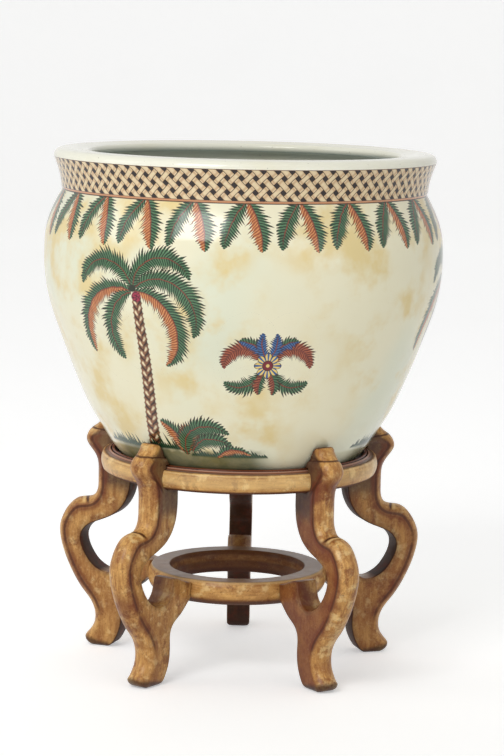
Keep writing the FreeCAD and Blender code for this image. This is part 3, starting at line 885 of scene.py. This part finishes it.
def turned_piece(name, runs, strips):
    """Solid of revolution whose section is a chain of smooth runs, the first one laid out largest."""
    angles = np.arange(BOWL_SEGMENTS) * (2 * math.pi / BOWL_SEGMENTS)
    vertices, normals, faces, spans = [], [], [], []
    for run in runs:
        run = np.asarray(run, float)
        way = np.gradient(run, axis=0)
        facing = np.stack([way[:, 1], -way[:, 0]], 1) / np.hypot(*way.T)[:, None]
        base = len(vertices)
        for (radius, height), (out, up) in zip(run, facing):
            for angle in angles:
                vertices.append((radius * math.sin(angle), -radius * math.cos(angle), height))
                normals.append((out * math.sin(angle), -out * math.cos(angle), up))
        first = len(faces)
        for row in range(len(run) - 1):
            for column in range(BOWL_SEGMENTS):
                after = (column + 1) % BOWL_SEGMENTS
                here, above = base + row * BOWL_SEGMENTS, base + (row + 1) * BOWL_SEGMENTS
                faces.append((here + column, here + after, above + after, above + column))
        spans.append((first, len(faces), len(run)))
    piece = new_object(name, vertices, faces)
    unroll(piece.data, spans, strips)
    piece.data.normals_split_custom_set_from_vertices(normals)
    return piece


def between(curve, low, high):
    """The part of a run whose heights lie between two values, with exact ends."""
    order = np.argsort(curve[:, 1])
    heights, radii = curve[order, 1], curve[order, 0]
    least = 0.3
    inner = heights[(heights > low + least) & (heights < high - least)]
    wanted = np.concatenate([[low], inner, [high]])
    part = np.stack([np.interp(wanted, heights, radii), wanted], 1)
    return part if curve[0, 1] < curve[-1, 1] else part[::-1]


def make_bowl():
    """The bowl in five stacked rings, so that each carries a fine surface of its own."""
    outside = smooth_curve(BOWL_OUTSIDE, step=3.0)
    collar = smooth_curve(BOWL_COLLAR, step=2.5)
    walls = smooth_curve(BOWL_INSIDE, step=5.0)
    rim = joined(*(arc_curve(*arc, step=1.2) for arc in BOWL_RIM))
    floor_height = BOWL_INSIDE[-1][1]
    centre = 0.01  # least radius of the floor and the foot

    def wall(low, high):
        return between(walls, low, high)

    def cut(start, end):
        return line_curve(start, end, step=8.0)

    foot_edge = arc_curve(BOWL_FOOT[-1], (133.4, SEAT + 0.9), BOWL_OUTSIDE[0], step=0.8)
    foot = joined(foot_edge, between(outside, BOWL_OUTSIDE[0][1], BELLY))
    pieces = {
        "bowl_rim": ([rim, cut(rim[-1], rim[0])], 3, make_rim_glaze()),
        "bowl_collar": ([joined(line_curve(BOWL_OUTSIDE[-1], BOWL_COLLAR[0], step=1.0), collar),
                         cut(collar[-1], walls[0]), wall(NECK - 1, BOWL_INSIDE[0][1])], 6,
                        make_woven_glaze()),
        "bowl_shoulder": ([between(outside, SHOULDER, NECK), wall(SHOULDER, NECK - 1)], 4,
                          make_shoulder_glaze()),
        "bowl_belly": ([between(outside, BELLY, SHOULDER), wall(BELLY, SHOULDER)], 3, make_belly_glaze()),
        "bowl_base": ([foot, wall(floor_height + 0.6, BELLY)], 3, make_base_glaze()),
    }
    inside_glaze = make_inside_glaze()
    biscuit = make_foot_glaze()
    for name, (runs, strips, material) in pieces.items():
        chain = []
        for number, run in enumerate(runs):
            if number and np.hypot(*(run[0] - chain[-1][-1])) > 0.01:
                chain.append(cut(chain[-1][-1], run[0]))
            chain.append(run)
        if name == "bowl_base":
            chain.append(cut(chain[-1][-1], (centre, floor_height)))
            under = [(centre, BOWL_FOOT[0][1]), *BOWL_FOOT[1:]]
            chain += [cut(start, end) for start, end in zip(under, under[1:])]
        elif np.hypot(*(chain[0][0] - chain[-1][-1])) > 0.01:
            chain.append(cut(chain[-1][-1], chain[0][0]))
        piece = turned_piece(name, chain, strips)
        for finish in (material, inside_glaze, biscuit):
            piece.data.materials.append(finish)
        # The first run has the piece's own glaze, the others the inside's, and the foot is bare.
        counts = [(len(run) - 1) * BOWL_SEGMENTS for run in chain]
        kinds = np.repeat([0] + [1] * (len(chain) - 1), counts)
        if name == "bowl_base":
            kinds[-sum(counts[-3:]):] = 2
        piece.data.polygons.foreach_set("material_index", kinds.astype(np.int32))
        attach(piece, "bowl")
        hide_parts("bowl")


# ---- legs

def leg_outline():
    """Closed outline of a leg, with the share of rounded front at each point."""
    step, fade = 2.2, 6
    front = smooth_curve(LEG_FRONT, step)
    toe = smooth_curve(LEG_TOE, step)
    rest = joined(
        line_curve(LEG_TOE[-1], LEG_HEEL[0], step), smooth_curve(LEG_HEEL, step),
        line_curve(LEG_HEEL[-1], LEG_BRANCH_TOP[0], step), smooth_curve(LEG_BRANCH_TOP, step),
        smooth_curve(LEG_INNER, step),
        *(line_curve(a, b, step) for a, b in zip(LEG_NOTCH, LEG_NOTCH[1:])),
        smooth_curve(HEAD_BACK, step),
    )
    points = joined(front, toe, rest)[:-1]
    share = np.zeros(len(points))
    share[:len(front)] = 1.0
    share[len(front):len(front) + len(toe) - 1] = np.linspace(1, 0.15, len(toe) - 1)
    share[-fade:] = np.linspace(0, 0.8, fade)
    return points, share


def side_limit(height):
    """Half thickness allowed by the cap's narrowing and the hollow below it."""
    half = LEG_THICKNESS / 2
    dome = np.clip((height - CAP_HEIGHT) / CAP_TALL, 0, 0.98) ** 4
    limit = np.where(height > CAP_HEIGHT, (half - CAP_NARROW) * np.sqrt(1 - dome / 2), half)
    under = SOLE_ROUND - np.clip(height, 0, SOLE_ROUND)
    limit = np.minimum(limit, half - SOLE_ROUND + np.sqrt(SOLE_ROUND ** 2 - under ** 2))
    rise = np.clip(np.abs(height - CAP_HEIGHT), 0, CAP_HOLLOW)
    hollow = half + CAP_HOLLOW - CAP_STEP - np.sqrt(CAP_HOLLOW ** 2 - rise ** 2)
    return np.minimum(limit, np.where(rise < CAP_HOLLOW, hollow, half))


def sheet_points(outline, depth):
    """Points to span a leg's side with: its outline, rings along the rounded edge and a grid inside."""
    before, after = np.roll(outline, 1, 0), np.roll(outline, -1, 0)
    way = after - before
    inward = np.stack([way[:, 1], -way[:, 0]], 1) / np.hypot(*way.T)[:, None]
    area = np.sum(outline[:, 0] * after[:, 1] - after[:, 0] * outline[:, 1])
    inward *= 1 if area < 0 else -1

    points = [outline]  # points of a ring that come near another edge are left out
    for part in (0.10, 0.22, 0.36, 0.52, 0.70, 0.88, 1.02):
        ring = outline + inward * (depth * part)[:, None]
        points.append(ring[distances(ring, outline).min(1) > depth * part * 0.93])
    low, high = outline.min(0), outline.max(0)
    grid_step, clear = 4.5, 1.5
    columns, rows = np.arange(low[0], high[0], grid_step), np.arange(low[1], high[1], grid_step)
    grid = np.stack(np.meshgrid(columns, rows), -1).reshape(-1, 2)
    points.append(grid[(distances(grid, outline) - depth[None] * 1.1).min(1) > clear])
    return np.concatenate(points)


def make_leg_mesh(name):
    """A leg standing on the XZ plane: its outline swelled to its thickness from every edge."""
    outline, share = leg_outline()
    half = LEG_THICKNESS / 2
    depth = ARRIS + (FRONT_SWELL - ARRIS) * share
    rise = ARRIS + (half - ARRIS) * share
    base = half - rise
    bulge = (depth ** 2 + rise ** 2) / (2 * depth)

    count = len(outline)
    loop = [(i, (i + 1) % count) for i in range(count)]
    flat = [Vector(point) for point in sheet_points(outline, depth)]
    corners, _, faces, _, _, _ = delaunay_2d_cdt(flat, loop, [list(range(count))], 1, 1e-5)
    flat = np.array([tuple(corner) for corner in corners])

    spread = distances(flat, outline)
    reach = np.minimum(spread, depth[None])
    height = base[None] + np.sqrt(np.maximum(2 * bulge[None] * reach - reach ** 2, 0))
    height = np.where(spread >= depth[None], half, height).min(1)
    height = np.minimum(height, side_limit(flat[:, 1]))
    far = 1e3
    front_gap = np.where(share[None] > 0.5, spread, far).min(1)
    edge_gap = np.where(share[None] <= 0.5, spread, far).min(1)

    total = len(flat)
    vertices = [(x, h, z) for (x, z), h in zip(flat, height)]
    vertices += [(x, -h, z) for (x, z), h in zip(flat, height)]
    shell = [tuple(face) for face in faces]
    shell += [tuple(v + total for v in reversed(face)) for face in shell]
    on_edge = [int(np.argmin(spread[:, i])) for i in range(count)]
    for a, b in zip(on_edge, on_edge[1:] + on_edge[:1]):
        if height[a] > 0.01 or height[b] > 0.01:
            shell.append((a, b, b + total, a + total))
    piece = new_object(name, vertices, shell)
    finish_leg_mesh(piece, np.tile(front_gap, 2), np.tile(edge_gap, 2))
    return piece


def finish_leg_mesh(piece, front_gap, edge_gap):
    """Measures kept on the mesh for its finish, then one closed skin that faces outwards."""
    mesh = piece.data
    place = np.zeros(len(mesh.vertices) * 3)
    mesh.vertices.foreach_get("co", place)
    measures = (("leg_place", "FLOAT_VECTOR", "vector", place / MM),
                ("front_gap", "FLOAT", "value", front_gap), ("edge_gap", "FLOAT", "value", edge_gap))
    for name, kind, field, values in measures:
        mesh.attributes.new(name, kind, "POINT").data.foreach_set(field, values)
    skin = bmesh.new()
    skin.from_mesh(mesh)
    bmesh.ops.remove_doubles(skin, verts=skin.verts, dist=0.02 * MM)
    bmesh.ops.recalc_face_normals(skin, faces=skin.faces)
    skin.to_mesh(mesh)
    skin.free()
    mesh.shade_smooth()
    mesh.set_sharp_from_angle(angle=math.radians(38))


def make_legs():
    """Five legs from one mesh, each turned to its place."""
    wood = make_leg_wood()
    model = make_leg_mesh("leg_model")
    for node, azimuth in LEG_AZIMUTHS.items():
        piece = bpy.data.objects.new(node.replace("leg", "carved_leg"), model.data.copy())
        piece.data.transform(Matrix.Rotation(math.radians(azimuth - 90), 4, "Z"))
        bpy.context.scene.collection.objects.link(piece)
        piece.data.materials.append(wood)
        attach(piece, "stand")
        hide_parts(node)
    bpy.data.objects.remove(model)


def finish_cad_nodes():
    """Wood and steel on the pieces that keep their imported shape."""
    bare = make_bare_wood()
    finishes = {"top_ring": make_top_ring_wood(), "lower_ring": make_lower_ring_wood(),
                "tongues": bare, "dowels": bare, "screws": make_screw_steel()}
    for name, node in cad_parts.items():
        if name == "bowl" or name in LEG_AZIMUTHS:
            continue
        kind = name.rsplit("_", 1)[-1]
        if kind not in finishes:
            kind = name[:name.index("_ring")] + "_ring"
        for slot in node.material_slots:
            slot.material = finishes[kind]


# ---- stage

WHITE = (1.0, 1.0, 1.0, 1.0)
SOFT_LIGHT = 0.47  # strength of the world's even light
FLOOR_LIFT = 0.27  # how much whiter the camera sees the paper than its light makes it
BACKDROP_LIFT = 0.42
LAMPS = {  # azimuth, elevation, distance, size, power
    "key": (-27, 36, 3.2, 1.35, 40),
    "left": (-78, 24, 3.4, 1.6, 12),
    "right": (42, 12, 3.6, 1.8, 9),
}


def seen_background(tree):
    """1 where a surface is seen directly, in a reflection or through something clear."""
    path = add_node(tree, "LightPath", {})
    camera, glossy, clear = (Number(tree, path.outputs["Is %s Ray" % kind])
                             for kind in ("Camera", "Glossy", "Transmission"))
    return camera.at_least(glossy).at_least(clear)


def make_stage():
    """Pale floor that curves up into a backdrop."""
    half, near, far, tall, bend = 8000, -7000, 5400, 5000, 1600
    turn = [(far + bend * math.sin(a), bend * (1 - math.cos(a))) for a in np.linspace(0, math.pi / 2, 17)]
    section = [(near, 0), (0, 0)] + turn + [(far + bend, tall)]
    count = len(section)
    vertices = [(x, y, z) for x in (-half, half) for y, z in section]
    faces = [(i, i + count, i + count + 1, i + 1) for i in range(count - 1)]
    floor = new_object("studio_floor", vertices, faces)
    finish = Finish("studio_paper", srgb(246, 246, 245))
    finish.paint(finish.patches(3, 0.5, 0.75, 1.2, 4.0) * 0.25, srgb(238, 238, 236))
    lift = finish.y.step(-450, 150) * (BACKDROP_LIFT - FLOOR_LIFT) + FLOOR_LIFT
    finish.shader.inputs["Emission Color"].default_value = WHITE
    feed(finish.tree, finish.shader.inputs["Emission Strength"], seen_background(finish.tree) * lift)
    floor.data.materials.append(finish.done(finish.noise(20) * 0.2 + 0.6, finish.noise(90), bump=0.05))


def make_lamp(name, azimuth, elevation, distance, size, power):
    """Soft square lamp that faces the middle of the object."""
    target = Vector((0, 0, 0.35))
    a, e = math.radians(azimuth), math.radians(elevation)
    away = Vector((math.sin(a) * math.cos(e), -math.cos(a) * math.cos(e), math.sin(e)))
    place = target + distance * away
    data = bpy.data.lights.new(name, "AREA")
    data.shape = "SQUARE"
    data.size = size
    data.energy = power
    lamp = bpy.data.objects.new(name, data)
    lamp.location = place
    lamp.rotation_euler = (target - place).to_track_quat("-Z", "Y").to_euler()
    bpy.context.scene.collection.objects.link(lamp)


def make_world():
    """Even soft light, seen as white by the camera and in reflections."""
    world = bpy.data.worlds.new("studio")
    bpy.context.scene.world = world
    world.use_nodes = True
    tree = world.node_tree
    tree.nodes.clear()
    soft, white = (add_node(tree, "Background", {"Color": WHITE, "Strength": strength}).outputs[0]
                   for strength in (SOFT_LIGHT, 1.0))
    choose = add_node(tree, "MixShader", {0: seen_background(tree), 1: soft, 2: white})
    add_node(tree, "OutputWorld", {"Surface": choose.outputs[0]})


CAMERA_DISTANCE = 2.937
CAMERA_HEIGHT = 0.752
CAMERA_AZIMUTH = 1.0
CAMERA_YAW = 0.25
CAMERA_PITCH = 8.13
CAMERA_ROLL = 1.22
CAMERA_LENS = 122.0


def make_camera():
    """Camera fitted to the outlines in the photograph."""
    azimuth, roll = math.radians(CAMERA_AZIMUTH), math.radians(CAMERA_ROLL)
    heading, pitch = math.radians(CAMERA_YAW - CAMERA_AZIMUTH), math.radians(CAMERA_PITCH)
    level = Vector((math.cos(heading), -math.sin(heading), 0))
    ahead = Vector((math.sin(heading), math.cos(heading), 0))
    forward = ahead * math.cos(pitch) - Vector((0, 0, math.sin(pitch)))
    above = level.cross(forward)
    right = level * math.cos(roll) + above * math.sin(roll)
    up = above * math.cos(roll) - level * math.sin(roll)
    away = CAMERA_DISTANCE * Vector((math.sin(azimuth), -math.cos(azimuth), 0))
    place = away + Vector((0, 0, CAMERA_HEIGHT))
    data = bpy.data.cameras.new("photo_camera")
    data.lens = CAMERA_LENS
    data.sensor_width = 36.0
    data.clip_end = 50.0
    camera = bpy.data.objects.new("photo_camera", data)
    turn = Matrix((right, up, -forward)).transposed().to_4x4()
    camera.matrix_world = Matrix.Translation(place) @ turn
    bpy.context.scene.collection.objects.link(camera)
    bpy.context.scene.camera = camera


make_camera()
make_stage()
make_world()
for lamp_name, settings in LAMPS.items():
    make_lamp(lamp_name, *settings)
make_bowl()
make_legs()
finish_cad_nodes()
bpy.context.scene.view_settings.view_transform = "Standard"
